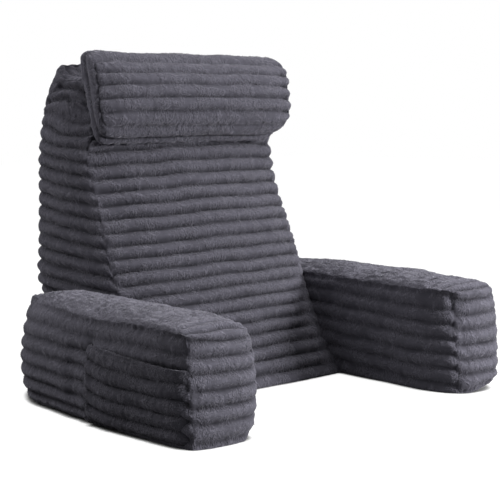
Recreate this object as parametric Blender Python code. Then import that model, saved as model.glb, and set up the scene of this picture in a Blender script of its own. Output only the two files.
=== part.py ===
"""Reading pillow with arms, in wide-wale plush: a filled wedge backrest, two filled boxed arms,
a boxed head pillow in front of the back's top edge, and a patch pocket on one arm.

Metres, +Z up, the sitter faces -Y. The pillow rests on z = 0, under the middle of its box.
"""

from math import atan, cos, pi, sin, tan

import bmesh
import bpy
import numpy as np
from mathutils import Matrix, Vector

# The cloth
WALE = 0.0236  # one rib of the plush, crest to crest
GROOVE = 0.0060  # depth of the groove between two ribs
SEWN_GAP = 0.0003  # between pieces that are sewn or lie together
EDGE_GROOVE = 0.3  # share of a groove's depth that is left where it runs into a panel's edge
PLUSH_GREY = (0.075, 0.074, 0.088)
RIB_SECTION = ((0.0, 1.0), (0.28, 0.0), (0.72, 0.0))  # share of the wale, share of the groove's depth

# The backrest, by the height of its front edge. crown is how far the front panel's middle stands
# forward of its edges, and slope how much a rib climbs to the rear on the side gussets.
RECLINE = 0.39  # how far the front panel leans back for each metre of height
HEAD_RECLINE = 0.22  # the same behind the head pillow, which stands more upright
BACK_COLUMNS = ("height", "front_half", "front_edge", "crown", "rear_half", "rear", "slope")
BACK_SECTIONS = (
    (0.000, 0.2260, -0.158, 0.013, 0.2260, 0.136, 0.000),
    (0.100, 0.2260, -0.112, 0.020, 0.2260, 0.142, 0.050),
    (0.165, 0.2205, -0.080, 0.028, 0.2262, 0.144, 0.080),
    (0.190, 0.2190, -0.069, 0.030, 0.2390, 0.145, 0.090),
    (0.370, 0.2165, 0.0050, 0.028, 0.2390, 0.145, 0.125),
    (0.430, 0.2160, 0.0270, 0.019, 0.2390, 0.145, 0.130),
    (0.500, 0.2120, 0.0414, 0.018, 0.2300, 0.134, 0.110),
    (0.558, 0.2040, 0.0532, 0.017, 0.2140, 0.116, 0.080),
)
BESIDE_ARMS = 0.165  # below this the back's sides are sewn against the arms
BACK_CORNERS = (0.012, 0.012, 0.022, 0.022)
BACK_BOWS = (0.006, 0.014)  # side gussets, rear panel
BACK_TOP_ROUND = 0.022  # radius of the turn onto the top, which stops short of a full quarter turn
BACK_TOP_TURN = 0.95
BACK_FOOT_ROUND = 0.008
BACK_STEPS = (10, 4, 7, 4)  # faces along the front, a gusset, the rear and a gusset
LEAST_CORNER = 1.1  # a corner's radius over its ring's inset

# The arms in plan: distance from the middle, place front to back, rounding of the corner
ARM_CORNERS = {
    "front_inner": (0.2090, -0.433, 0.030),
    "front_outer": (0.3630, -0.433, 0.024),
    "rear_outer": (0.3515, 0.024, 0.080),
    "rear_inner": (0.2268, 0.138, 0.026),
}
ARM_BOWS = (0.006, 0.006, 0.006, 0.0)  # front end, outer side, rear end, inner side
ARM_STEPS = (3, 12, 4, 8)
ARM_BAND_HEIGHTS = (0.160, 0.172)  # of the ribbed sides, at the front and at the rear
ARM_BAND_WALES = 7
ARM_CROWNS = (0.028, 0.012)  # the top strip's rise over its edges, at the front and at the rear
ARM_CROWN_RUN = 0.035  # it rises over this length from each end
ARM_ARCH = 2.5  # the strip's arch across the arm: 2 is round, and more is flatter on top
CAP_LIFT = 0.003  # its edge over the sides' last ring
ARM_CAP_COLUMNS = 7
CAP_SEAM = 0.006  # from the last ring of a ribbed band to the panel inside it
ARM_DRAWN_IN = (  # share of the band's height, inset of the side
    (0.00, 0.007),
    (0.06, 0.003),
    (0.16, 0.001),
    (0.40, 0.000),
    (0.75, 0.001),
    (0.90, 0.005),
    (1.00, 0.014),
)

# The head pillow lies against the top of the front panel
HEAD_BOTTOM = 0.427
HEAD_SHIFT = 0.005  # off the middle, towards the sitter's left
HEAD_HALF_WIDTH = 0.2250
HEAD_HEIGHT = 0.158
HEAD_CORNER = 0.028
HEAD_BAND_WALES = 2
HEAD_BAND_INSET = ((0.0, 0.010), (0.25, 0.001), (0.6, 0.000), (1.0, 0.004))
HEAD_BOWS = (0.003, 0.006, 0.003, 0.006)
HEAD_STEPS = (8, 3, 8, 3)
HEAD_COLUMNS = 11
HEAD_FRONT_CROWN = 0.030
HEAD_REAR_CROWN = 0.004
HEAD_TOUCHES = 0.500  # the height at which its rear face meets the front panel

# The patch pocket on the left arm
POCKET_HEM = 0.045  # its lower and upper edges, as shares of the arm band's height
POCKET_MOUTH = 0.73
POCKET_REAR = -0.190
POCKET_CLOTH = 0.0025


def clear_scene():
    for old in list(bpy.data.objects):
        bpy.data.objects.remove(old, do_unlink=True)


def plush(name):
    """Short-pile cloth: no gloss, a little sheen."""
    material = bpy.data.materials.new(name)
    material.use_nodes = True
    shader = material.node_tree.nodes["Principled BSDF"]
    shader.inputs["Base Color"].default_value = (*PLUSH_GREY, 1.0)
    shader.inputs["Roughness"].default_value = 0.95
    shader.inputs["Metallic"].default_value = 0.0
    shader.inputs["Sheen Weight"].default_value = 0.3
    return material


def wale_rows(wales):
    """(share of the run, groove depth) of the lines that draw this many ribs, groove to groove."""
    rows = [((k + share) / wales, GROOVE * depth) for k in range(wales) for share, depth in RIB_SECTION]
    return rows + [(1.0, GROOVE)]


def way(start, end):
    return (end - start) / np.linalg.norm(end - start)


def inset_corner(before, corner, after, inset):
    """The point that lies inset away from both sides of a corner."""
    back, ahead = way(corner, before), way(corner, after)
    return corner + (back + ahead) * inset / np.sin(np.arccos(back @ ahead))


def corner_arc(before, corner, after, radius, inset, steps):
    """The round corner of an outline whose sides are moved inwards by inset."""
    centre = inset_corner(before, corner, after, radius)
    back, ahead = way(corner, before), way(corner, after)
    half_turn = (pi - np.arccos(back @ ahead)) / 2
    start = (corner + back * radius * tan(half_turn) - centre) * (1 - inset / radius)
    turns = [2 * half_turn * step / steps for step in range(steps + 1)]
    return [centre + (start[0] * cos(t) - start[1] * sin(t), start[0] * sin(t) + start[1] * cos(t)) for t in turns]


def outline(corners, radii, inset, arc_steps, side_steps, bows):
    """A closed counter-clockwise outline: round corners, and sides that bow outwards between them."""
    spots = np.asarray(corners, float)
    count = len(spots)
    arcs = [
        corner_arc(spots[i - 1], spots[i], spots[(i + 1) % count], radii[i], inset, arc_steps)
        for i in range(count)
    ]
    points = []
    for i in range(count):
        points += arcs[i]
        first, last = arcs[i][-1], arcs[(i + 1) % count][0]
        along = way(first, last)
        outward = np.array([along[1], -along[0]])
        for share in np.arange(1, side_steps[i]) / side_steps[i]:
            points.append(first + (last - first) * share + outward * bows[i] * 4 * share * (1 - share))
    return np.array(points)


def join_rings(bm, lower, upper):
    for i in range(len(lower)):
        j = (i + 1) % len(lower)
        bm.faces.new((lower[i], lower[j], upper[j], upper[i]))


def join_rows(bm, rows):
    for row, after in zip(rows, rows[1:]):
        for k in range(len(row) - 1):
            bm.faces.new((row[k], row[k + 1], after[k + 1], after[k]))


def loop_shares(verts):
    """Each vertex's share of the way round its loop, and 1 for the way back to the first."""
    points = np.array([vert.co for vert in verts])
    steps = np.linalg.norm(np.roll(points, -1, axis=0) - points, axis=1)
    return np.concatenate([[0.0], np.cumsum(steps)]) / steps.sum()


def zip_loops(bm, outer, inner):
    """Triangles between two loops of different counts, walked round in step."""
    outer_shares, inner_shares = loop_shares(outer), loop_shares(inner)
    i = j = 0
    while i < len(outer) or j < len(inner):
        a, b = outer[i % len(outer)], inner[j % len(inner)]
        if j == len(inner) or (i < len(outer) and outer_shares[i + 1] <= inner_shares[j + 1]):
            i += 1
            bm.faces.new((a, outer[i % len(outer)], b))
        else:
            j += 1
            bm.faces.new((a, inner[j % len(inner)], b))


def finished(name, bm, material):
    """The mesh as an object, its faces outwards, smooth apart from its hard edges."""
    bmesh.ops.recalc_face_normals(bm, faces=bm.faces)
    if bm.calc_volume(signed=True) < 0:
        bmesh.ops.reverse_faces(bm, faces=bm.faces)
    mesh = bpy.data.meshes.new(name)
    bm.to_mesh(mesh)
    bm.free()
    mesh.shade_smooth()
    mesh.set_sharp_from_angle(angle=1.2)
    mesh.materials.append(material)
    made = bpy.data.objects.new(name, mesh)
    bpy.context.scene.collection.objects.link(made)
    return made


def ring_verts(bm, ring):
    return [bm.verts.new(point) for point in ring]


def add_panel(bm, ring, panel_rows):
    """A panel of rows of points, sewn into the ring round it."""
    rows = [ring_verts(bm, row) for row in panel_rows]
    join_rows(bm, rows)
    border = rows[0] + [row[-1] for row in rows[1:-1]] + rows[-1][::-1] + [row[0] for row in rows[-2:0:-1]]
    zip_loops(bm, ring, border)


def add_band(bm, rings):
    """Rings of points joined up the sides of a cushion; gives its first and last ring."""
    band = [ring_verts(bm, ring) for ring in rings]
    for lower, upper in zip(band, band[1:]):
        join_rings(bm, lower, upper)
    return band[0], band[-1]


def arm_inner_x(y):
    """The arm's inner side, from its front corner to its rear one."""
    front, rear = ARM_CORNERS["front_inner"], ARM_CORNERS["rear_inner"]
    return float(np.interp(y, (front[1], rear[1]), (front[0], rear[0])))


def back_ring(height, inset):
    """The backrest's outline at this height of its front edge, climbing a little to the rear."""
    table = np.array(BACK_SECTIONS)
    at = {name: float(np.interp(height, table[:, 0], table[:, i])) for i, name in enumerate(BACK_COLUMNS)}
    side_bow, rear_bow = BACK_BOWS
    if height < BESIDE_ARMS:
        at["front_half"] = arm_inner_x(at["front_edge"]) - SEWN_GAP
        at["rear_half"] = arm_inner_x(at["rear"]) - SEWN_GAP
        side_bow = 0.0
    corners = (
        (-at["front_half"], at["front_edge"]),
        (at["front_half"], at["front_edge"]),
        (at["rear_half"], at["rear"]),
        (-at["rear_half"], at["rear"]),
    )
    bows = (at["crown"], side_bow, rear_bow, side_bow)
    radii = [max(radius, inset * LEAST_CORNER) for radius in BACK_CORNERS]
    plan = outline(corners, radii, inset, 2, BACK_STEPS, bows)
    climb = at["slope"] * np.maximum(0.0, plan[:, 1] - at["front_edge"])
    return np.column_stack([plan, height + climb])


def make_backrest(material):
    top = BACK_SECTIONS[-1][0]
    wales = round(top * (1 + RECLINE**2) ** 0.5 / WALE)
    bm = bmesh.new()
    rings = []
    for share, groove in wale_rows(wales):
        height = share * top
        over = max(0.0, 1 - (top - height) / BACK_TOP_ROUND)
        under = max(0.0, 1 - height / WALE)
        turned_in = BACK_TOP_ROUND * (1 - (1 - (BACK_TOP_TURN * over) ** 2) ** 0.5)
        rings.append(back_ring(height, groove + turned_in + BACK_FOOT_ROUND * under**2))
    for end in add_band(bm, rings):
        bm.faces.new(end)
    return finished("backrest", bm, material)


def arm_ring(side, share, groove):
    """The arm's ring at this share of its band; a groove below zero stands proud of the ribs."""
    inset = np.interp(share, *np.transpose(ARM_DRAWN_IN)) + groove
    spots = [spot[:2] for spot in ARM_CORNERS.values()]
    radii = [spot[2] for spot in ARM_CORNERS.values()]
    plan = outline(spots, radii, inset, 3, ARM_STEPS, ARM_BOWS)
    return [(side * x, y, share * arm_band_height(y)) for x, y in plan]


def arm_band_height(y):
    ends = (ARM_CORNERS["front_inner"][1], ARM_CORNERS["rear_inner"][1])
    return float(np.interp(y, ends, ARM_BAND_HEIGHTS))


def panel_columns(count):
    """Places from -1 to 1 across a panel, closer together at its edges."""
    return np.sin(np.linspace(-pi / 2, pi / 2, count))


def arm_cap(side):
    """The top strip: ribs across the arm, turning with its rear end, and bowed up in the middle."""
    spots = np.array([spot[:2] for spot in ARM_CORNERS.values()])
    inset = ARM_DRAWN_IN[-1][1] + GROOVE + CAP_SEAM
    inner_front, outer_front, outer_rear, inner_rear = (
        inset_corner(spots[i - 1], spots[i], spots[(i + 1) % 4], inset) for i in range(4)
    )
    length = (inner_rear[1] + outer_rear[1]) / 2 - inner_front[1]
    rows = []
    for share, groove in wale_rows(round(length / WALE)):
        inner = inner_front + share * (inner_rear - inner_front)
        outer = outer_front + share * (outer_rear - outer_front)
        from_end = min(share, 1 - share) * length
        risen = (1 - max(0.0, 1 - from_end / ARM_CROWN_RUN) ** 2) ** 0.5
        crown = np.interp(share, (0.0, 1.0), ARM_CROWNS)
        row = []
        for across in panel_columns(ARM_CAP_COLUMNS):
            x, y = inner + (1 + across) / 2 * (outer - inner)
            bow = risen * (1 - abs(across) ** ARM_ARCH)
            lift = CAP_LIFT + crown * bow - groove * min(1.0, EDGE_GROOVE + bow)
            row.append((side * x, y, arm_band_height(y) + lift))
        rows.append(row)
    return rows


def make_arm(name, side, material):
    bm = bmesh.new()
    base, top = add_band(bm, [arm_ring(side, share, groove) for share, groove in wale_rows(ARM_BAND_WALES)])
    bm.faces.new(base)
    add_panel(bm, top, arm_cap(side))
    return finished(name, bm, material)


def make_pocket(material):
    """The patch pocket: a ribbed sheet that follows the left arm's outer side to its front corner."""
    reach = ARM_CORNERS["rear_outer"][0] - ARM_CORNERS["front_outer"][2] / 2
    crest = arm_ring(1, POCKET_MOUTH, 0.0)
    columns = [i for i, (x, y, z) in enumerate(crest) if x > reach and y < POCKET_REAR]
    lines = [(share, groove) for share, groove in wale_rows(ARM_BAND_WALES) if POCKET_HEM < share < POCKET_MOUTH]
    bm = bmesh.new()
    inner, outer = [], []
    for share, groove in lines:
        under = arm_ring(-1, share, -SEWN_GAP)
        over = arm_ring(-1, share, groove - GROOVE - SEWN_GAP - POCKET_CLOTH)
        inner.append([bm.verts.new(under[i]) for i in columns])
        outer.append([bm.verts.new(over[i]) for i in columns])
    join_rows(bm, inner)
    join_rows(bm, outer)
    join_rows(bm, (inner[0], outer[0]))
    join_rows(bm, (inner[-1], outer[-1]))
    join_rows(bm, ([row[0] for row in inner], [row[0] for row in outer]))
    join_rows(bm, ([row[-1] for row in inner], [row[-1] for row in outer]))
    return finished("side_pocket", bm, material)


def head_panel(place, crown):
    """A face of the head pillow, ribbed across and bowed out from its band by crown."""
    edge = HEAD_BAND_INSET[-1][1] + GROOVE + CAP_SEAM
    half, low, high = HEAD_HALF_WIDTH - edge, edge, HEAD_HEIGHT - edge
    rows = []
    for share, groove in wale_rows(round((high - low) / WALE)):
        row = []
        for across in panel_columns(HEAD_COLUMNS):
            bow = (1 - (2 * share - 1) ** 2) ** 0.5 * (1 - across**4) ** 0.5
            out = crown * bow - np.sign(crown) * groove * min(1.0, EDGE_GROOVE + bow)
            row.append((across * half, low + share * (high - low), place + out))
        rows.append(row)
    return rows


def make_head_pillow(material):
    """A boxed pillow: x across, y up its recline and z out of the front panel."""
    corners = (
        (-HEAD_HALF_WIDTH, 0.0),
        (HEAD_HALF_WIDTH, 0.0),
        (HEAD_HALF_WIDTH, HEAD_HEIGHT),
        (-HEAD_HALF_WIDTH, HEAD_HEIGHT),
    )
    band = HEAD_BAND_WALES * WALE
    rings = []
    for share, groove in wale_rows(HEAD_BAND_WALES):
        inset = np.interp(share, *np.transpose(HEAD_BAND_INSET)) + groove
        plan = outline(corners, [HEAD_CORNER] * 4, inset, 3, HEAD_STEPS, HEAD_BOWS)
        rings.append(np.column_stack([plan, np.full(len(plan), share * band)]))
    bm = bmesh.new()
    rear, front = add_band(bm, rings)
    add_panel(bm, front, head_panel(band, HEAD_FRONT_CROWN))
    add_panel(bm, rear, head_panel(0.0, -HEAD_REAR_CROWN))
    made = finished("head_pillow", bm, material)
    made.rotation_euler.x = pi / 2 - atan(HEAD_RECLINE)
    off_panel = (HEAD_REAR_CROWN + SEWN_GAP) / cos(atan(HEAD_RECLINE))
    leant_back = HEAD_RECLINE * (HEAD_TOUCHES - HEAD_BOTTOM)
    made.location = (HEAD_SHIFT, front_middle(HEAD_TOUCHES) - leant_back - off_panel, HEAD_BOTTOM)
    return made


def front_middle(height):
    """Where the middle of the front panel stands at this height."""
    table = np.array(BACK_SECTIONS)
    return float(np.interp(height, table[:, 0], table[:, 2] - table[:, 3]))


def centre_on_floor(objects):
    """Moves every piece so that the whole box stands on the origin."""
    bpy.context.view_layer.update()
    spots = np.array([made.matrix_world @ vert.co for made in objects for vert in made.data.vertices])
    middle = (spots.min(axis=0) + spots.max(axis=0)) / 2
    for made in objects:
        made.matrix_world = Matrix.Translation(Vector((-middle[0], -middle[1], 0.0))) @ made.matrix_world


def main():
    clear_scene()
    centre_on_floor(
        (
            make_backrest(plush("back_plush")),
            make_arm("arm_left", -1, plush("arm_plush")),
            make_arm("arm_right", 1, plush("arm_plush")),
            make_head_pillow(plush("head_plush")),
            make_pocket(plush("pocket_plush")),
        )
    )


main()
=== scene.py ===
"""Looks of the reading pillow with arms: covers of wide-ribbed plush, filled and sewn."""

from math import atan, cos, exp, pi, radians, sin

import bmesh
import bpy
import numpy as np
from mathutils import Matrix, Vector, noise
from mathutils.bvhtree import BVHTree
from mathutils.kdtree import KDTree


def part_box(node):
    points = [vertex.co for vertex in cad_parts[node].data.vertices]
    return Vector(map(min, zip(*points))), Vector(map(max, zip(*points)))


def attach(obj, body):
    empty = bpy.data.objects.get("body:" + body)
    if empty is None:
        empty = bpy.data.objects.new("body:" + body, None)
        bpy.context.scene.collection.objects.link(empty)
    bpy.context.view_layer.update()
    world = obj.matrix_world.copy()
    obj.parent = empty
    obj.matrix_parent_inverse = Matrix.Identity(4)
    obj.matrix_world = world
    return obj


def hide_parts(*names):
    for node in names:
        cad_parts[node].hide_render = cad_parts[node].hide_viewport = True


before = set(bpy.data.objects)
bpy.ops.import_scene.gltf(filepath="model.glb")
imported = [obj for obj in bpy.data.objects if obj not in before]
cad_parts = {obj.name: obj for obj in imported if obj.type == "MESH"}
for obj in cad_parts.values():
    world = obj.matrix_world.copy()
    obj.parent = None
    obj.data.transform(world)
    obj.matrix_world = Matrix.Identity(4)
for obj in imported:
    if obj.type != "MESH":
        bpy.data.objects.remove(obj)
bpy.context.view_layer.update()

# ---- The backrest ----
# A tall wedge of loose foam in a plush cover. Its front panel leans back, its two gussets and its rear
# panel stand nearly upright, and their ribs run level round it, climbing a little to the rear.

WALE = 0.0236  # one rib of the plush, groove to groove
GROOVE = 0.0082  # depth of the groove between two ribs
PILE = 0.0008  # the brushed pile stands this far over the cloth
SEAM_TIGHT = 0.42  # how sharply a sewn edge turns: 0 is round, 1 a knife edge
SEAM_WIDTH, SEAM_DEPTH = 0.0034, 0.0012  # the pinch along a seam
SEAM_SIDE = 0.013  # the cloth beside a seam is pulled about for this far
FOLD_FULL_SHADE = 0.012  # a fold this deep gets the full painted shade of a fold
FILL_STEPS = 20  # of the cloth simulation that swells a cover
BACK_CELLS = (17, 7, 25)  # across, front to rear, up: one rib to a row
BACK_DEEP = (0.0, 0.17, 0.34, 0.51, 0.68, 0.84, 0.945, 1.0)  # lines down the gusset, front to rear
BACK_COLUMNS = ("height", "front_half", "front", "crown", "rear_half", "rear", "climb")
BACK_SECTIONS = (
    (0.000, 0.2260, -0.038, 0.008, 0.2260, 0.279, 0.000),
    (0.040, 0.2260, -0.008, 0.013, 0.2260, 0.282, 0.020),
    (0.100, 0.2260, 0.025, 0.020, 0.2260, 0.285, 0.050),
    (0.140, 0.2205, 0.045, 0.026, 0.2262, 0.287, 0.070),
    (0.156, 0.2210, 0.053, 0.028, 0.2460, 0.287, 0.078),
    (0.240, 0.2225, 0.088, 0.030, 0.2430, 0.287, 0.100),
    (0.280, 0.2200, 0.105, 0.030, 0.2415, 0.287, 0.110),
    (0.330, 0.2165, 0.126, 0.029, 0.2400, 0.287, 0.118),
    (0.370, 0.2190, 0.142, 0.028, 0.2385, 0.286, 0.125),
    (0.430, 0.2275, 0.164, 0.019, 0.2375, 0.283, 0.130),
    (0.500, 0.2185, 0.178, 0.018, 0.2290, 0.274, 0.110),
    (0.558, 0.2050, 0.190, 0.017, 0.2120, 0.257, 0.080),
)
SLUMP_IN = ((0.395, 0.0), (0.418, 0.009), (0.442, 0.027), (0.465, 0.034), (0.558, 0.030))  # height, inset
SLUMP_OUT = ((0.39, 0.0), (0.43, 0.012), (0.558, 0.016))  # height, how far its front edge stands forward
MIDDLE = (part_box("arm_left")[1].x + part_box("arm_right")[0].x) / 2  # of the seat, across


def cover(name, cells, place, panel_of, spot_of, ribbing, sharp=SEAM_TIGHT):
    """A closed cover of cloth squares in a box of cells: i across, j front to rear, k up.

    place(i, j, k) gives a point of its outside, panel_of(side, i, j, k) the panel that a cell's square is
    cut from, spot_of(side, i, j, k) the point's spot on the cloth, in metres along and across the ribs,
    and ribbing(i, j, k) how plainly its ribs show."""
    ni, nj, nk = cells
    bm = bmesh.new()
    cloth, panels = bm.loops.layers.uv.new("cloth"), bm.faces.layers.int.new("panel")
    ribbed, tight = bm.verts.layers.float.new("ribbed"), bm.edges.layers.float.new("crease_edge")
    verts = {}

    def square(side, cell, *spots):
        for spot in spots:
            if spot not in verts:
                verts[spot] = bm.verts.new(place(*spot))
                verts[spot][ribbed] = ribbing(*spot)
        face = bm.faces.new([verts[spot] for spot in spots])
        face[panels] = panel_of(side, *cell)
        for loop, spot in zip(face.loops, spots):
            loop[cloth].uv = spot_of(side, *spot)

    for k in range(nk):
        for i in range(ni):
            square("front", (i, 0, k), (i, 0, k), (i + 1, 0, k), (i + 1, 0, k + 1), (i, 0, k + 1))
            square("rear", (i, nj, k), (i + 1, nj, k), (i, nj, k), (i, nj, k + 1), (i + 1, nj, k + 1))
        for j in range(nj):
            square("left", (0, j, k), (0, j + 1, k), (0, j, k), (0, j, k + 1), (0, j + 1, k + 1))
            square("right", (ni, j, k), (ni, j, k), (ni, j + 1, k), (ni, j + 1, k + 1), (ni, j, k + 1))
    for i in range(ni):
        for j in range(nj):
            square("under", (i, j, 0), (i, j + 1, 0), (i + 1, j + 1, 0), (i + 1, j, 0), (i, j, 0))
            square("top", (i, j, nk), (i, j, nk), (i + 1, j, nk), (i + 1, j + 1, nk), (i, j + 1, nk))
    bmesh.ops.recalc_face_normals(bm, faces=bm.faces)
    for edge in bm.edges:
        if len({face[panels] for face in edge.link_faces}) > 1:
            edge[tight] = sharp
    mesh = bpy.data.meshes.new(name)
    bm.to_mesh(mesh)
    bm.free()
    made = bpy.data.objects.new(name, mesh)
    bpy.context.scene.collection.objects.link(made)
    return made


def points_of(mesh):
    points = np.empty(len(mesh.vertices) * 3)
    mesh.vertices.foreach_get("co", points)
    return points.reshape(-1, 3)


def place_points(mesh, points):
    mesh.vertices.foreach_set("co", points.astype(np.float32).ravel())
    mesh.update()


def loop_points(mesh):
    """The point that each loop of the mesh is at."""
    loops = np.empty(len(mesh.loops), int)
    mesh.loops.foreach_get("vertex_index", loops)
    return loops


def panel_seams(mesh):
    """Which points lie on a seam, between squares of two panels."""
    loops = loop_points(mesh)
    panels = np.empty(len(mesh.polygons), int)
    mesh.attributes["panel"].data.foreach_get("value", panels)
    of_loop = np.repeat(panels, 4)  # the faces are all squares
    low, high = np.full(len(mesh.vertices), 99), np.full(len(mesh.vertices), -1)
    np.minimum.at(low, loops, of_loop)
    np.maximum.at(high, loops, of_loop)
    return low != high


def fill(made, pressure, most):
    """Swells the cover as its filling would. No point of it moves further than most."""
    mesh = made.data
    start = points_of(mesh)
    sewn = made.vertex_groups.new(name="sewn")
    on_seam = panel_seams(mesh)
    on_floor = start[:, 2] < start[:, 2].min() + 0.001
    for index, (seam, flat) in enumerate(zip(on_seam, on_floor)):
        held = 1.0 if flat else 0.6 * seam
        if held:
            sewn.add([index], held, "REPLACE")
    cloth = made.modifiers.new("filling", "CLOTH")
    settings = cloth.settings
    settings.quality = 6
    settings.mass = 0.4
    settings.tension_stiffness = settings.compression_stiffness = 12
    settings.shear_stiffness = 6
    settings.bending_stiffness = 0.6
    settings.air_damping = 2
    settings.use_pressure = True
    settings.uniform_pressure_force = pressure
    settings.vertex_group_mass = "sewn"
    settings.pin_stiffness = 2
    settings.effector_weights.gravity = 0
    scene = bpy.context.scene
    for step in range(1, FILL_STEPS + 1):
        scene.frame_set(step)
    graph = bpy.context.evaluated_depsgraph_get()
    blown = points_of(made.evaluated_get(graph).data)
    made.modifiers.remove(cloth)
    scene.frame_set(1)
    moved = blown - start
    reach = np.linalg.norm(moved, axis=1, keepdims=True)
    moved *= most * np.tanh(reach / most) / np.maximum(reach, 1e-9)
    place_points(mesh, start + moved)


def wander(points, size, seed):
    """Smooth noise from about -1 to 1 over the points, in lumps of one size or of three, along x, y, z."""
    shift = Vector((seed * 7.3, seed * 3.1, seed * 5.7))
    return np.array([noise.noise(Vector(point) + shift) for point in points / np.array(size)]) * 1.6


def fade(distance, width):
    """1 at no distance, and down to nothing by about twice the width."""
    return np.exp(-((distance / width) ** 2))


def to_nearest(points, others):
    """How far each point is from the nearest of the others."""
    tree = KDTree(len(others))
    for index, other in enumerate(others):
        tree.insert(other, index)
    tree.balance()
    return np.array([tree.find(point)[2] for point in points])


def to_line(points, line):
    """How far each point is from a line of straight runs."""
    nearest = np.full(len(points), 1.0)
    for start, end in zip(np.array(line), np.array(line[1:])):
        run = end - start
        share = np.clip((points - start) @ run / (run @ run), 0, 1)
        nearest = np.minimum(nearest, np.linalg.norm(points - start - share[:, None] * run, axis=1))
    return nearest


def raise_ribs(made, folds=(), wavy=0.0012, flat_tops=0.80):
    """Subdivides a filled cover and gives it its ribs, pinched seams, lumps of filling and folds.

    A fold is the points along it, its width and its depth. The ribs stray by up to about wavy, and the
    lower flat_tops, the flatter they are between their grooves."""
    fine = made.modifiers.new("fine", "SUBSURF")
    fine.levels = fine.render_levels = 3
    fine.uv_smooth = "NONE"
    graph = bpy.context.evaluated_depsgraph_get()
    mesh = bpy.data.meshes.new_from_object(made.evaluated_get(graph))
    made.modifiers.remove(fine)
    made.data = mesh
    points = points_of(mesh)
    normals = np.array([vert.normal for vert in mesh.vertices])
    spots = np.empty(len(mesh.loops) * 2)
    mesh.uv_layers["cloth"].data.foreach_get("uv", spots)
    cloth = np.empty((len(points), 2))
    cloth[loop_points(mesh)] = spots.reshape(-1, 2)
    ribbed = np.empty(len(points))
    mesh.attributes["ribbed"].data.foreach_get("value", ribbed)

    # the ribs, 1 on their crests and 0 down in their grooves
    flat = np.column_stack([cloth, np.zeros(len(points))])
    across = cloth[:, 1] + wavy * wander(flat, 0.055, 1)
    peaked = np.clip((ribbed - 1.0) / 0.3, 0, 1)
    ridge = np.abs(np.sin(pi * across / WALE)) ** (flat_tops + (1 - flat_tops) * peaked)
    uneven = 1 + 0.30 * wander(flat, (0.070, 0.030, 1), 5)

    # the seams, pinched in and puckered, with the rib ends rounded off
    to_seam = to_nearest(points, points[panel_seams(mesh)])
    seam, near_seam = fade(to_seam, SEAM_WIDTH), fade(to_seam, SEAM_SIDE)
    pucker = 1 + 0.6 * wander(points, 0.009, 2)
    lift = -PILE - GROOVE * ribbed * uneven * (1 - ridge) * (1 - 0.20 * near_seam)
    lift -= SEAM_DEPTH * seam * pucker + 0.22 * GROOVE * ridge * fade(to_seam, 0.006)
    lift += 0.0016 * near_seam * (1 - seam) * wander(points, 0.008, 6)

    # tufts of pile, matted patches where no ribs show, and lumps of the filling
    lift += 0.0007 * wander(flat, (0.007, 0.012, 1), 3)
    lift += 0.0016 * np.clip(1 - ribbed / 0.4, 0, 1) * wander(flat, (0.0065, 0.020, 1), 8)
    lift += 0.0024 * wander(points, 0.080, 4) * (1 - near_seam)

    # how far each point lies in a fold, for the painted shade of the folds
    crease_shade = np.zeros(len(points))
    for line, width, depth in folds:
        fold = fade(to_line(points, line), width)
        lift -= depth * fold
        crease_shade = np.maximum(crease_shade, min(1.0, depth / FOLD_FULL_SHADE) * fold)
    raised = points + normals * lift[:, None]
    raised[:, 2] = np.maximum(raised[:, 2], 0.0)
    place_points(mesh, raised)

    # how high the pile stands, for its colour, with painted shade down in the grooves, along the seams and
    # in the folds
    height = 1 - ribbed * (1 - ridge) * (1 - 0.5 * near_seam) - 0.08 * seam - 0.5 * crease_shade
    deep = mesh.attributes.new("height", "FLOAT", "POINT")
    deep.data.foreach_set("value", height.astype(np.float32))
    mesh.shade_smooth()


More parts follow.
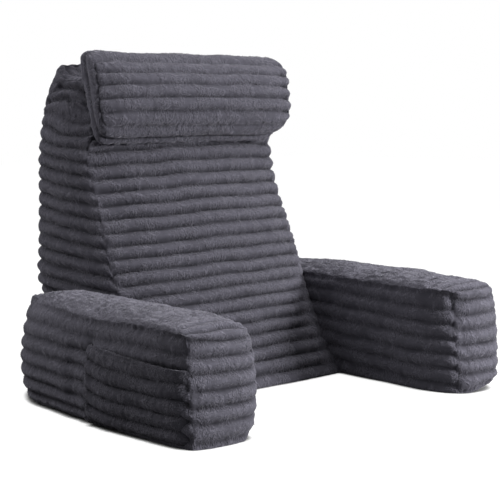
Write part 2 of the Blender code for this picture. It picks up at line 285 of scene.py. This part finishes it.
def plush(name, light, dark):
    """Short dense pile, with painted shade down in its grooves, seams and folds, curly in patches and
    silky between them.
    """
    material = bpy.data.materials.new(name)
    material.use_nodes = True
    nodes, links = material.node_tree.nodes, material.node_tree.links
    shader = nodes["Principled BSDF"]
    shader.inputs["Roughness"].default_value = 0.9
    shader.inputs["Sheen Weight"].default_value = 0.25
    shader.inputs["Sheen Roughness"].default_value = 0.45
    shader.inputs["Sheen Tint"].default_value = (0.75, 0.73, 0.85, 1.0)
    shader.inputs["Specular IOR Level"].default_value = 0.15

    where = nodes.new("ShaderNodeUVMap")
    where.uv_map = "cloth"

    def strokes(along, across, detail):
        """Noise in strokes of this length along the ribs and this width across them."""
        stretch = nodes.new("ShaderNodeMapping")
        stretch.inputs["Scale"].default_value = (1 / along, 1 / across, 1.0)
        links.new(where.outputs["UV"], stretch.inputs["Vector"])
        speckle = nodes.new("ShaderNodeTexNoise")
        speckle.inputs["Scale"].default_value = 1.0
        speckle.inputs["Detail"].default_value = detail
        speckle.inputs["Distortion"].default_value = 0.8
        links.new(stretch.outputs["Vector"], speckle.inputs["Vector"])
        return speckle.outputs["Fac"]

    def sharpened(value, low, high):
        """The value, stretched so that low gives 0 and high gives 1."""
        sharp = nodes.new("ShaderNodeMapRange")
        sharp.inputs["From Min"].default_value = low
        sharp.inputs["From Max"].default_value = high
        links.new(value, sharp.inputs["Value"])
        return sharp.outputs["Result"]

    def mixed(weight, value, base):
        """base, with this much of the value on top."""
        total = nodes.new("ShaderNodeMath")
        total.operation = "MULTIPLY_ADD"
        total.inputs[1].default_value = weight
        links.new(value, total.inputs[0])
        links.new(base, total.inputs[2])
        return total.outputs["Value"]

    def masked(value, mask):
        """The value times the mask."""
        product = nodes.new("ShaderNodeMath")
        product.operation = "MULTIPLY"
        links.new(value, product.inputs[0])
        links.new(mask, product.inputs[1])
        return product.outputs["Value"]

    patches = strokes(0.034, 0.020, 2.0)
    curly = sharpened(patches, 0.42, 0.60)  # where the pile stands up; it lies smooth elsewhere
    fine = masked(sharpened(strokes(0.0030, 0.0040, 3.0), 0.40, 0.60), curly)
    silk = strokes(0.050, 0.0034, 2.0)
    height = nodes.new("ShaderNodeAttribute")
    height.attribute_name = "height"
    brushed = mixed(1.7, fine, mixed(3.0, patches, silk))
    # lighter on the crests and darker down in the grooves, seams and folds: painted shade
    ribs = sharpened(height.outputs["Fac"], 0.0, 1.0)
    tips = mixed(0.7, ribs, masked(brushed, ribs))  # no strokes show down in the grooves
    shade = nodes.new("ShaderNodeValToRGB")
    shade.color_ramp.elements[0].color = (*dark, 1.0)
    shade.color_ramp.elements[1].color = (*light, 1.0)
    links.new(sharpened(tips, 0.30, 3.75), shade.inputs["Fac"])
    links.new(shade.outputs["Color"], shader.inputs["Base Color"])

    raised = nodes.new("ShaderNodeBump")
    raised.inputs["Strength"].default_value = 0.9
    raised.inputs["Distance"].default_value = 0.0032
    links.new(fine, raised.inputs["Height"])
    links.new(raised.outputs["Normal"], shader.inputs["Normal"])
    return material


def unit(vectors):
    return vectors / np.linalg.norm(vectors, axis=1, keepdims=True)


def pile(name, wearer, tufts, seed, comb=(0.3, -0.3, -0.8)):
    """Small pointed tufts of brushed pile, rooted on a cover's ribs and lying the way they are combed."""
    random = np.random.default_rng(seed)
    mesh = wearer.data
    points = points_of(mesh)
    count = len(mesh.polygons)
    corners = np.empty(count * 4, int)
    mesh.polygons.foreach_get("vertices", corners)
    corners = corners.reshape(-1, 4)
    area, normal = np.empty(count), np.empty(count * 3)
    mesh.polygons.foreach_get("area", area)
    mesh.polygons.foreach_get("normal", normal)
    normal = normal.reshape(-1, 3)
    height = np.empty(len(points))
    mesh.attributes["height"].data.foreach_get("value", height)
    centre = points[corners].mean(axis=1)

    # more tufts on the crests, none in the grooves or on the floor, fewer on the rear and the sides
    share = area * np.clip(height[corners].mean(axis=1) - 0.3, 0.0, 0.6)
    share *= np.where(normal[:, 1] > 0.7, 0.35, 1.0) * (centre[:, 2] > 0.006)
    share *= np.where(np.abs(normal[:, 0]) > 0.8, 0.35, 1.0)
    share *= np.clip(0.45 + 1.3 * wander(centre, (0.070, 0.070, 0.028), seed), 0.06, 1.8)
    at = random.choice(count, tufts, p=share / share.sum())
    a, b = random.random((2, tufts, 1))
    quad = points[corners[at]]
    root = (
        (1 - a) * (1 - b) * quad[:, 0]
        + a * (1 - b) * quad[:, 1]
        + a * b * quad[:, 2]
        + (1 - a) * b * quad[:, 3]
    )
    up = normal[at]
    combed = np.array(comb) + 0.80 * random.normal(size=(tufts, 3))
    lying = unit(combed - (combed * up).sum(axis=1, keepdims=True) * up)
    across = np.cross(up, lying)
    size = random.uniform(0.6, 1.2, (tufts, 1))
    foot = root - 0.0006 * up
    tufted = np.stack(
        [
            foot + 0.0008 * size * across - 0.0005 * lying,
            foot - 0.0008 * size * across - 0.0005 * lying,
            foot + 0.0012 * size * lying,
            root + size * (0.0009 * up + 0.0019 * lying),
        ],
        axis=1,
    )
    sides = np.array([(0, 1, 3), (1, 2, 3), (2, 0, 3), (0, 2, 1)])
    faces = sides[None] + 4 * np.arange(tufts)[:, None, None]
    whole = bpy.data.meshes.new(name)
    whole.vertices.add(4 * tufts)
    whole.vertices.foreach_set("co", tufted.astype(np.float32).ravel())
    whole.loops.add(12 * tufts)
    whole.loops.foreach_set("vertex_index", faces.astype(np.int32).ravel())
    whole.polygons.add(4 * tufts)
    whole.polygons.foreach_set("loop_start", np.arange(0, 12 * tufts, 3, dtype=np.int32))
    whole.update(calc_edges=True)
    made = bpy.data.objects.new(name, whole)
    bpy.context.scene.collection.objects.link(made)
    return made


def pile_tips(name, colour):
    """The lit tips of the pile, one even colour."""
    material = bpy.data.materials.new(name)
    material.use_nodes = True
    shader = material.node_tree.nodes["Principled BSDF"]
    shader.inputs["Base Color"].default_value = (*colour, 1.0)
    shader.inputs["Roughness"].default_value = 0.8
    shader.inputs["Sheen Weight"].default_value = 0.15
    shader.inputs["Specular IOR Level"].default_value = 0.2
    return material


# the deep charcoal is painted shade, for the grooves, seams and folds
CHARCOAL, CHARCOAL_PAINTED_SHADE = (0.081, 0.078, 0.098), (0.010, 0.0097, 0.013)
CHARCOAL_PAINTED_LIT = (0.117, 0.113, 0.141)  # a lighter copy of the same charcoal, for the arms: painted light
CHARCOAL_TIPS = (0.092, 0.090, 0.110)


def back_point(i, j, k):
    ni, nj, nk = BACK_CELLS
    table = np.array(BACK_SECTIONS)
    height = table[-1, 0] * k / nk
    at = {name: float(np.interp(height, table[:, 0], table[:, c])) for c, name in enumerate(BACK_COLUMNS)}
    s, t = 2 * i / ni - 1, BACK_DEEP[j]  # -1 to 1 across, 0 to 1 from front to rear
    half = 0.0025 + at["front_half"] + t * (at["rear_half"] - at["front_half"])
    half -= 0.012 * max(0.0, t - 0.9) / 0.1
    if s < 0:  # the near side slumps inward behind the head pillow
        half -= (1 - t) * float(np.interp(height, *zip(*SLUMP_IN)))
    bow = 0.006 * 4 * t * (1 - t) * (height > 0.17)
    x = MIDDLE + s * (half + bow)
    front, rear = at["front"] - at["crown"] * (1 - s**2), at["rear"] + 0.012 * (1 - s**2)
    y = front + t * (rear - front)
    if s < 0:
        y -= (1 - t) * s**4 * float(np.interp(height, *zip(*SLUMP_OUT)))
    z = height + at["climb"] * max(0.0, y - at["front"])
    if k == 0:
        z = -0.008  # pressed flat on the floor
    if k == nk:  # the narrow top is hollow between its front and rear edges
        z += 0.008 * (1 - s**2) - 0.022 * sin(pi * t) + 0.007 * (t > 0.8)
    return x, y, z


def back_panel(side, i, j, k):
    if side in ("left", "right"):
        return 1 if j == BACK_CELLS[1] - 1 else 2  # the rear panel laps round onto the sides
    return {"front": 0, "rear": 1, "top": 1, "under": 3}[side]


def back_spot(side, i, j, k):
    if side in ("top", "under"):  # the underside is held flat by what it lies on
        return j * 0.02, (i if side == "top" else 0.5) * WALE
    if side == "rear":
        return i * 0.026, k * WALE
    if side == "front":  # its ribs sit a little lower midway up, and lower still to the near side
        drop = 0.0065 * np.interp(k, (3.5, 10, 16, 20), (0, 1, 1, 0.4))
        drop += 0.0075 * max(0.0, 1 - 2 * i / BACK_CELLS[0])
        return i * 0.026, k * WALE + drop
    crumple = 0.011 * min(1.0, max(0.0, k - 18) / 4)  # the ribs stray where the top corner slumps
    return BACK_DEEP[j] * 0.24, (0.929 * k + 1.57) * WALE + crumple * sin(0.9 * k + 1.1 * j)


def back_ribbing(i, j, k):
    ni, _, nk = BACK_CELLS
    if k == nk:
        return 0.45
    if i >= ni - 1:
        return 1.2 if k > 8 else 0.5  # the far edge, brushed flat beside the arm
    return 0.5 if i == 0 and j > 0 and k > 20 else 1.0  # fainter where the near corner slumps


BACK_FOLDS = (  # the points along each, its width and its depth
    (
        ((-0.184, 0.172, 0.512), (-0.189, 0.190, 0.519), (-0.200, 0.215, 0.524), (-0.210, 0.235, 0.528)),
        0.0050,
        0.013,
    ),
    (
        ((-0.188, 0.170, 0.492), (-0.195, 0.195, 0.501), (-0.206, 0.220, 0.507), (-0.217, 0.258, 0.501)),
        0.0050,
        0.014,
    ),
    (((-0.190, 0.170, 0.468), (-0.203, 0.195, 0.474), (-0.211, 0.218, 0.478)), 0.0055, 0.007),
)

backrest = cover("backrest_cover", BACK_CELLS, back_point, back_panel, back_spot, back_ribbing)
fill(backrest, 3.0, 0.010)
raise_ribs(backrest, folds=BACK_FOLDS)
backrest.data.materials.append(plush("back_plush", CHARCOAL, CHARCOAL_PAINTED_SHADE))
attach(backrest, "root")
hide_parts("backrest")

back_pile = pile("back_pile", backrest, 24000, 21)
back_pile.data.materials.append(pile_tips("back_pile", CHARCOAL_TIPS))
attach(back_pile, "root")

# ---- The arms ----
# Two long boxed cushions, sewn to the back's sides. One strip of plush goes up the rear end, along the
# top and down the front end with its ribs across the arm. On the inner and outer sides they run along it.

ARM_CELLS = (6, 24, 7)  # inner to outer side, front to rear, up
ARM_PLAN = {  # distance from the middle, place from front to rear
    "inner_front": (0.2085, 0.001),
    "outer_front": (0.3640, 0.001),
    "inner_rear": (0.2268, 0.577),
    "outer_rear": (0.3530, 0.466),
}
ARM_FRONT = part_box("arm_left")[0].y
ARM_ROUND = {(0, 0): 0.024, (1, 0): 0.014, (1, 1): 0.070, (0, 1): 0.020}  # (outer, rear): radius
ARM_WIDE, ARM_LONG = 0.150, 0.53  # about, for its corners and ends
ARM_HEIGHT = 0.179  # at the front, under the crown of its top
ARM_TUCK = (0.0050, 0.0035)  # width and depth of the crease just under the top's edge


def arm_plan(side, s, t, h):
    """A share across and along the arm, slid onto the arc where it is nearer a corner than its radius."""
    a, b = min(s, 1 - s) * ARM_WIDE, min(t, 1 - t) * ARM_LONG
    radius = ARM_ROUND[(int(s > 0.5), int(t > 0.5))]
    if side > 0 and s > 0.5 and t < 0.5:
        radius += 0.034 * (1 - h) ** 3
    if a < radius and b < radius:
        off = ((radius - a) ** 2 + (radius - b) ** 2) ** 0.5
        if off > radius:
            a, b = radius - (radius - a) * radius / off, radius - (radius - b) * radius / off
    s = a / ARM_WIDE if s <= 0.5 else 1 - a / ARM_WIDE
    t = b / ARM_LONG if t <= 0.5 else 1 - b / ARM_LONG
    return s, t


def arm_point(side, i, j, k):
    """side is -1 for the viewer's left arm and 1 for the right one, which slump differently."""
    ni, nj, nk = ARM_CELLS
    h = k / nk
    s, t = arm_plan(side, i / ni, j / nj, h)  # 0 to 1 from the inner to the outer side, and front to rear
    corner = {name: np.array(spot) for name, spot in ARM_PLAN.items()}
    front = corner["inner_front"] + s * (corner["outer_front"] - corner["inner_front"])
    rear = corner["inner_rear"] + s * (corner["outer_rear"] - corner["inner_rear"])
    x, y = front + t * (rear - front)

    # the sides draw in at the top and bottom seams, but the top edge that the front view shows stands out
    inset = float(np.interp(h, (0.0, 0.1, 0.4, 0.75, 1.0), (0.004, 0.000, -0.002, 0.000, 0.006)))
    if k == nk and (s > 0.5) == (side < 0):
        inset -= 0.010 * min(1.0, max(0.0, (0.85 - t) / 0.25))
    x += (0.5 - s) * 2 * inset - (0.014 * s * (1 - t) if side > 0 else 0.0)
    y += (0.5 - t) * 2 * inset - 0.006 * (1 - (2 * s - 1) ** 2) * (t < 0.5) * (1 - 2 * t)

    belly = exp(-(((t - 0.42) / 0.30) ** 2))  # the arm is fattest ahead of its middle
    x += s * belly * (0.006 + 0.014 * (1 - h) ** 2) + s * 0.012 * (t > 0.6) * sin(pi * min(1.0, h + 0.10))
    if side > 0:
        x += 0.022 * (1 - s) * max(0.0, 1 - t * ARM_LONG / 0.06) ** 2  # well round before the front seam
    else:
        x += (0.022 * (1 - h) ** 2 + 0.010 * h**2 + 0.012 * (k == 0)) * (1 - s) * (1 - t)
    y -= 0.018 * (1 - h) ** 2 * max(0.0, 1 - t / 0.10)

    top = ARM_HEIGHT + 0.006 * t + 0.006 * belly * s
    if side < 0:  # its outer top edge dips midway, and its inner one sinks at both ends
        top -= 0.007 + (0.004 + 0.009 * exp(-(((t - 0.48) / 0.16) ** 2))) * s
        top -= (0.008 * max(0.0, 1 - t / 0.15) + 0.030 * (max(0.0, t - 0.75) / 0.25) ** 1.5) * (1 - s)
    z = h * top
    if k == 0:  # pressed on the floor in front, rounder to the rear
        z = -0.008 + 0.011 * s * min(1.0, max(0.0, t - 0.10) / 0.25)
        if side > 0:
            z += 0.028 * s * max(0.0, 1 - t / 0.2)
    if k == nk:
        slump = max(0.0, t - 0.72) / 0.28 * max(0.0, s - 0.3) / 0.7
        x -= 0.012 * slump
        run = min(1.0, min(t, 1 - t) * ARM_LONG / 0.045)
        bow = (1 - (1 - run) ** 2) ** 0.5 * (1 - abs(2 * s - 1) ** 6)
        z += (0.009 - 0.002 * t if side < 0 else 0.009) * bow
    return MIDDLE + side * x, ARM_FRONT + y, z


def arm_panel(side, i, j, k):
    return {"left": 1, "right": 2, "under": 3}.get(side, 0)


def arm_spot(arm_side, side, i, j, k):
    _, nj, nk = ARM_CELLS
    if side in ("left", "right"):  # the inner and the outer side
        lower = 0.30 if arm_side < 0 else 0.35 * max(0.0, 1 - 2 * j / nj)
        return j * 0.024, (k + lower) * WALE
    if side == "under":
        return i * 0.025, 0.5 * WALE
    higher = 0.50 if arm_side < 0 else 0.28
    return i * 0.025, ({"front": k, "top": nk + j, "rear": 2 * nk + nj - k}[side] - higher) * WALE


def arm_ribbing(i, j, k):
    _, nj, nk = ARM_CELLS
    if k == nk:  # the top is matted flat but for its front edge
        return (1.0, 0.7, 0.3)[j] if j < 3 else 0.1
    if k == nk - 1 and 0 < j < nj:
        return 0.45
    if j == 0:
        return 0.85
    return 0.60 if i == 0 else 0.85


ARM_FOLDS = {  # the points along each, its width and its depth
    "arm_left": (  # beside and over the pocket's rear seam
        (((-0.365, -0.066, 0.010), (-0.365, -0.072, 0.122)), 0.007, 0.006),
        (((-0.350, -0.078, 0.150), (-0.366, -0.066, 0.118)), 0.014, 0.004),
    ),
    "arm_right": (  # across the front of its top
        (((0.235, -0.285, 0.160), (0.300, -0.240, 0.192)), 0.007, 0.005),
        (((0.290, -0.295, 0.168), (0.345, -0.225, 0.185)), 0.008, 0.005),
        (((0.250, -0.225, 0.190), (0.330, -0.205, 0.192)), 0.007, 0.004),
    ),
}
# the arms' plush in the lighter charcoal: painted light on the arms
arm_plush = plush("arm_plush", CHARCOAL_PAINTED_LIT, CHARCOAL_PAINTED_SHADE)
arm_tips = pile_tips("arm_pile", CHARCOAL_TIPS)
arms = {}
for node, side in (("arm_left", -1), ("arm_right", 1)):
    arm = arms[node] = cover(
        node + "_cover",
        ARM_CELLS,
        lambda i, j, k: arm_point(side, i, j, k),
        arm_panel,
        lambda face, i, j, k: arm_spot(side, face, i, j, k),
        arm_ribbing,
        sharp=0.80,
    )
    fill(arm, 3.0, 0.008)
    ni, nj, nk = ARM_CELLS
    edge = ni if side < 0 else 0  # the top edge that the front view shows
    tuck = [np.array(arm_point(side, edge, j, nk)) - (0, 0, 0.009) for j in range(1, nj - 2)]
    raise_ribs(arm, folds=ARM_FOLDS[node] + ((tuck, *ARM_TUCK),))
    arm.data.materials.append(arm_plush)
    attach(arm, "root")
    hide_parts(node)
    arm_pile = pile(node + "_pile", arm, 14000, 31 + side, comb=(0.2, -0.5, -0.7))
    arm_pile.data.materials.append(arm_tips)
    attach(arm_pile, "root")

# ---- The side pocket ----
# A flat patch of the same plush on the outer side of the viewer's left arm, sewn down along its rear,
# lower and front edges. Its ribs start high at the puckered rear seam and sink to level.

POCKET_LOW, POCKET_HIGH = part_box("side_pocket")
POCKET_LONG = POCKET_HIGH.y - POCKET_LOW.y
POCKET_COLUMNS, POCKET_ROWS = 96, 54
POCKET_THICK = 0.0030
POCKET_FOOT = 0.004  # height of its lower edge
POCKET_MOUTH = (0.1265, 0.1140)  # height of the open top edge at the rear seam and at the front
POCKET_SINK, POCKET_SINK_RUN = 0.019, 0.040  # how far the ribs sink, and within what distance
POCKET_RIB_START = 0.0165  # height of a groove at the rear seam
POCKET_LOOK = (-0.014, -0.007, 0.0, 0.007, 0.014)  # heights about a point where the arm's side is felt for


def arm_skin(arm):
    """Finds how far out the arm's side stands at a height, ribs and all."""
    tree = BVHTree.FromObject(arm, bpy.context.evaluated_depsgraph_get())

    def outermost(y, z, reach):
        found = []
        for dy in (-reach, 0.0, reach):
            for dz in POCKET_LOOK:
                hit = tree.ray_cast(Vector((-0.6, y + dy, max(0.002, z + dz))), Vector((1, 0, 0)))[0]
                if hit:
                    found.append(hit.x)
        return sum(sorted(found)[:4]) / 4

    return outermost


def pocket_cloth(arm):
    """Points of the flat patch laid on the arm's side, and their spots on the cloth."""
    outermost = arm_skin(arm)
    laid = np.zeros((POCKET_COLUMNS + 1, POCKET_ROWS + 1, 3))
    cloth = np.zeros((POCKET_COLUMNS + 1, POCKET_ROWS + 1, 2))
    for a in range(POCKET_COLUMNS + 1):
        along = POCKET_LONG * a / POCKET_COLUMNS  # from the rear seam to the front one
        y = POCKET_HIGH.y - along
        mouth = POCKET_MOUTH[0] + (POCKET_MOUTH[1] - POCKET_MOUTH[0]) * along / POCKET_LONG
        sink = -POCKET_SINK * (1 - exp(-along / POCKET_SINK_RUN)) + 0.005 * along / POCKET_LONG
        for b in range(POCKET_ROWS + 1):
            z = POCKET_FOOT + (mouth - POCKET_FOOT) * b / POCKET_ROWS
            laid[a, b] = outermost(y, z, min(0.008, 0.0005 + POCKET_LONG - along)), y, z
            cloth[a, b] = along, z - sink - POCKET_RIB_START
    for _ in range(3):  # the flat cloth bridges the arm's own ribs
        x = laid[:, :, 0]
        x[1:-1, 1:-1] = (x[:-2, 1:-1] + x[2:, 1:-1] + x[1:-1, :-2] + x[1:-1, 2:] + 4 * x[1:-1, 1:-1]) / 8
    return laid, cloth


def pocket_relief(laid, cloth):
    """How far the patch stands off the arm, with its ribs and seams, and how high its pile stands, with
    painted shade in its grooves and along its sewn edges.
    """
    along, across = cloth[:, :, 0], cloth[:, :, 1]
    from_rear, from_front, from_low = along, POCKET_LONG - along, laid[:, :, 2] - POCKET_FOOT
    from_mouth = laid[:, -1:, 2] - laid[:, :, 2]
    flat = np.column_stack([along.ravel(), across.ravel(), np.zeros(along.size)])
    stray = (0.0014 * wander(flat, 0.05, 11)).reshape(across.shape)
    ridge = np.abs(np.sin(pi * (across + stray) / WALE)) ** 0.55
    held = np.maximum(np.maximum(fade(from_rear, 0.005), fade(from_front, 0.004)), fade(from_low, 0.004))
    pucker = (1 + 0.9 * wander(flat, 0.009, 12)).reshape(across.shape)
    plain = 1 - 0.5 * fade(from_mouth, 0.020)  # the mouth's hem is nearly plain
    out = 0.0062 - 0.0066 * plain * (1 - ridge) - 0.0050 * held * pucker
    out *= 1 - 0.9 * fade(from_front, 0.012)
    out -= 0.0050 * fade(from_front, 0.007)
    out += 0.0030 * fade(from_rear, 0.014) * (1 - held) * pucker
    out += 0.0008 * wander(flat, (0.007, 0.012, 1), 13).reshape(across.shape)
    hem = 0.0020 * fade(from_mouth, 0.010)
    hem = hem * np.minimum(1, from_rear / 0.06) * np.minimum(1, from_front / 0.04)  # held at its two ends
    out += hem * (1 - held)
    # the pile's height, for its colour: painted shade in the grooves and along the sewn edges
    return out, (1 - plain * (1 - ridge) * 0.9) * (1 - 0.7 * held)


def pocket(name, arm):
    laid, cloth = pocket_cloth(arm)
    out, height = pocket_relief(laid, cloth)
    front, rear = laid.copy(), laid.copy()
    front[:, :, 0] -= out
    rear[:, :, 0] += POCKET_THICK - out * 0.55

    bm = bmesh.new()
    spots, deep = bm.loops.layers.uv.new("cloth"), bm.verts.layers.float.new("height")
    columns, rows = range(POCKET_COLUMNS + 1), range(POCKET_ROWS + 1)
    sides = [[[bm.verts.new(grid[a, b]) for b in rows] for a in columns] for grid in (front, rear)]
    for grid in sides:
        for a, row in enumerate(grid):
            for b, vert in enumerate(row):
                # the pile's height, with its painted shade, for the plush's colour
                vert[deep] = height[a, b]

    def square(*corners):
        face = bm.faces.new([sides[layer][a][b] for layer, a, b in corners])
        for loop, (layer, a, b) in zip(face.loops, corners):
            loop[spots].uv = cloth[a, b]

    for a in range(POCKET_COLUMNS):
        for b in range(POCKET_ROWS):
            square((0, a, b), (0, a + 1, b), (0, a + 1, b + 1), (0, a, b + 1))
            square((1, a, b), (1, a, b + 1), (1, a + 1, b + 1), (1, a + 1, b))
    for a in range(POCKET_COLUMNS):
        for b in (0, POCKET_ROWS):
            square((0, a, b), (1, a, b), (1, a + 1, b), (0, a + 1, b))
    for b in range(POCKET_ROWS):
        for a in (0, POCKET_COLUMNS):
            square((0, a, b), (0, a, b + 1), (1, a, b + 1), (1, a, b))
    bmesh.ops.recalc_face_normals(bm, faces=bm.faces)
    mesh = bpy.data.meshes.new(name)
    bm.to_mesh(mesh)
    bm.free()
    mesh.shade_smooth()
    made = bpy.data.objects.new(name, mesh)
    bpy.context.scene.collection.objects.link(made)
    return made


side_pocket = pocket("side_pocket_panel", arms["arm_left"])
side_pocket.data.materials.append(plush("pocket_plush", CHARCOAL, CHARCOAL_PAINTED_SHADE))
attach(side_pocket, "root")
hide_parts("side_pocket")

pocket_pile = pile("side_pocket_pile", side_pocket, 5000, 41, comb=(0.0, -0.7, -0.6))
pocket_pile.data.materials.append(pile_tips("pocket_pile", CHARCOAL_TIPS))
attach(pocket_pile, "root")

# ---- The head pillow ----
# A small boxed cushion that lies against the top of the front panel. A band two ribs deep goes all round
# it, and its front panel is five ribs tall and well stuffed.

HEAD_CELLS = (19, 2, 5)  # across, front to rear, up
HEAD_RECLINE = 0.22  # how far it leans back for each metre of height
HEAD_HALF, HEAD_HEIGHT, HEAD_BAND = 0.2285, 0.171, 2 * WALE  # half its width, its height and its depth
HEAD_FRONT_BOW, HEAD_REAR_BOW = 0.026, -0.003  # how far the middles of its two panels stand out
HEAD_FOOT = Vector((MIDDLE + 0.006, 0.1427, 0.4225))  # the middle of its rear lower edge


def head_point(i, j, k):
    ni, nj, nk = HEAD_CELLS
    s, t, h = 2 * i / ni - 1, j / nj, 2 * k / nk - 1  # t is 0 at the front, 1 at the rear
    # how far its ends, and its top and bottom, are set in at the front, the middle and the rear
    ends = (0.008 * (h > 0), 0.0, 0.008) if s < 0 else (0.0, 0.012, 0.024)
    drops = (0.028, 0.0, 0.010) if h > 0 else (0.021, 0.005, -0.002)
    half, tall = HEAD_HALF - ends[j], HEAD_HEIGHT / 2 - drops[j]
    half += 0.005 * h  # its ends flare to the top
    across, up = s * half, h * tall
    corner = (0.026 if h > 0 else 0.036) if s > 0 else 0.012
    a, b = half - abs(across), tall - abs(up)
    if a < corner and b < corner:
        off = ((corner - a) ** 2 + (corner - b) ** 2) ** 0.5
        if off > corner:
            a, b = corner - (corner - a) * corner / off, corner - (corner - b) * corner / off
            across, up = np.sign(s) * (half - a), np.sign(h) * (tall - b)
    out = (1 - t) * HEAD_BAND
    if j in (0, nj):
        bow = (1 - abs(s) ** 4) ** 0.5 * (1 - h**2) ** 0.5
        out += HEAD_FRONT_BOW * bow if j == 0 else HEAD_REAR_BOW * bow
    tilt = atan(HEAD_RECLINE)
    up += HEAD_HEIGHT / 2
    leant = Vector((across, up * sin(tilt) - out * cos(tilt), up * cos(tilt) + out * sin(tilt)))
    return tuple(HEAD_FOOT + leant)


def head_panel(side, i, j, k):
    return {"front": 0, "rear": 1}.get(side, 2)


def head_spot(side, i, j, k):
    if side in ("front", "rear"):
        return i * WALE, k * WALE
    return (k * 0.03 if side in ("left", "right") else i * WALE), j * WALE


def head_ribbing(i, j, k):
    return 1.2 if i >= HEAD_CELLS[0] - 1 else 0.85


head = cover("head_pillow_cover", HEAD_CELLS, head_point, head_panel, head_spot, head_ribbing)
fill(head, 3.0, 0.006)
raise_ribs(head, wavy=0.0016, flat_tops=0.45)
head.data.materials.append(plush("head_plush", CHARCOAL, CHARCOAL_PAINTED_SHADE))
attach(head, "root")
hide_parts("head_pillow")

head_pile = pile("head_pillow_pile", head, 10000, 51)
head_pile.data.materials.append(pile_tips("head_pile", CHARCOAL_TIPS))
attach(head_pile, "root")

# ---- Floor, light and camera ----
# A plain white floor under soft studio light: a large key light in front on the right, weaker ones from
# above and from the left rear, and white all round that hardly lights the plush.

floor_mesh = bpy.data.meshes.new("floor")
floor_mesh.from_pydata([(-8, -8, 0), (8, -8, 0), (8, 8, 0), (-8, 8, 0)], [], [(0, 1, 2, 3)])
floor = bpy.data.objects.new("floor", floor_mesh)
bpy.context.scene.collection.objects.link(floor)
paper = bpy.data.materials.new("white_paper")
paper.use_nodes = True
paper_shader = paper.node_tree.nodes["Principled BSDF"]
paper_shader.inputs["Base Color"].default_value = (0.18, 0.18, 0.18, 1.0)
paper_shader.inputs["Roughness"].default_value = 1.0
paper_shader.inputs["Specular IOR Level"].default_value = 0.0
paper_shader.inputs["Emission Color"].default_value = (1.0, 1.0, 1.0, 1.0)
near = paper.node_tree.nodes.new("ShaderNodeAmbientOcclusion")  # the thin shadow where the pillow stands
near.inputs["Distance"].default_value = 0.011
near.samples = 8
bright = paper.node_tree.nodes.new("ShaderNodeMapRange")
bright.inputs["From Min"].default_value = 0.42
bright.inputs["From Max"].default_value = 0.97
bright.inputs["To Min"].default_value = 0.0
bright.inputs["To Max"].default_value = 0.95
paper.node_tree.links.new(near.outputs["AO"], bright.inputs["Value"])
in_sight = paper.node_tree.nodes.new("ShaderNodeLightPath")
glow = paper.node_tree.nodes.new("ShaderNodeMath")
glow.operation = "MULTIPLY"
paper.node_tree.links.new(in_sight.outputs["Is Camera Ray"], glow.inputs[0])
paper.node_tree.links.new(bright.outputs["Result"], glow.inputs[1])
paper.node_tree.links.new(glow.outputs["Value"], paper_shader.inputs["Emission Strength"])
floor_mesh.materials.append(paper)

world = bpy.data.worlds.new("studio")
bpy.context.scene.world = world
world.use_nodes = True
sky = world.node_tree.nodes["Background"]
sky.inputs["Color"].default_value = (1.0, 1.0, 1.0, 1.0)
in_sight = world.node_tree.nodes.new("ShaderNodeLightPath")
sky_glow = world.node_tree.nodes.new("ShaderNodeMapRange")
sky_glow.inputs["To Min"].default_value = 0.30  # on the plush
sky_glow.inputs["To Max"].default_value = 1.0  # behind it
world.node_tree.links.new(in_sight.outputs["Is Camera Ray"], sky_glow.inputs["Value"])
world.node_tree.links.new(sky_glow.outputs["Result"], sky.inputs["Strength"])


def area_light(name, spot, target, size, power):
    light = bpy.data.lights.new(name, "AREA")
    light.shape = "DISK"
    light.size = size
    light.energy = power
    lamp = bpy.data.objects.new(name, light)
    lamp.location = spot
    lamp.rotation_euler = (Vector(target) - Vector(spot)).to_track_quat("-Z", "Y").to_euler()
    bpy.context.scene.collection.objects.link(lamp)


area_light("key", (1.40, -2.20, 1.00), (0.1, 0.0, 0.25), 0.8, 130)
area_light("from_above", (0.5, -0.6, 2.4), (0.0, -0.1, 0.15), 1.2, 30)
area_light("from_left", (-0.80, 0.45, 0.76), (-0.24, 0.15, 0.40), 0.5, 4.6)

camera = bpy.data.objects.new("camera", bpy.data.cameras.new("camera"))
camera.data.lens = 100.8
camera.data.sensor_width = 36
camera.location = (-1.6046, -1.8282, 0.496)
camera.rotation_euler = (radians(90 - 5.97), 0, radians(-41.78))
bpy.context.scene.collection.objects.link(camera)
bpy.context.scene.camera = camera
bpy.context.scene.view_settings.view_transform = "Standard"
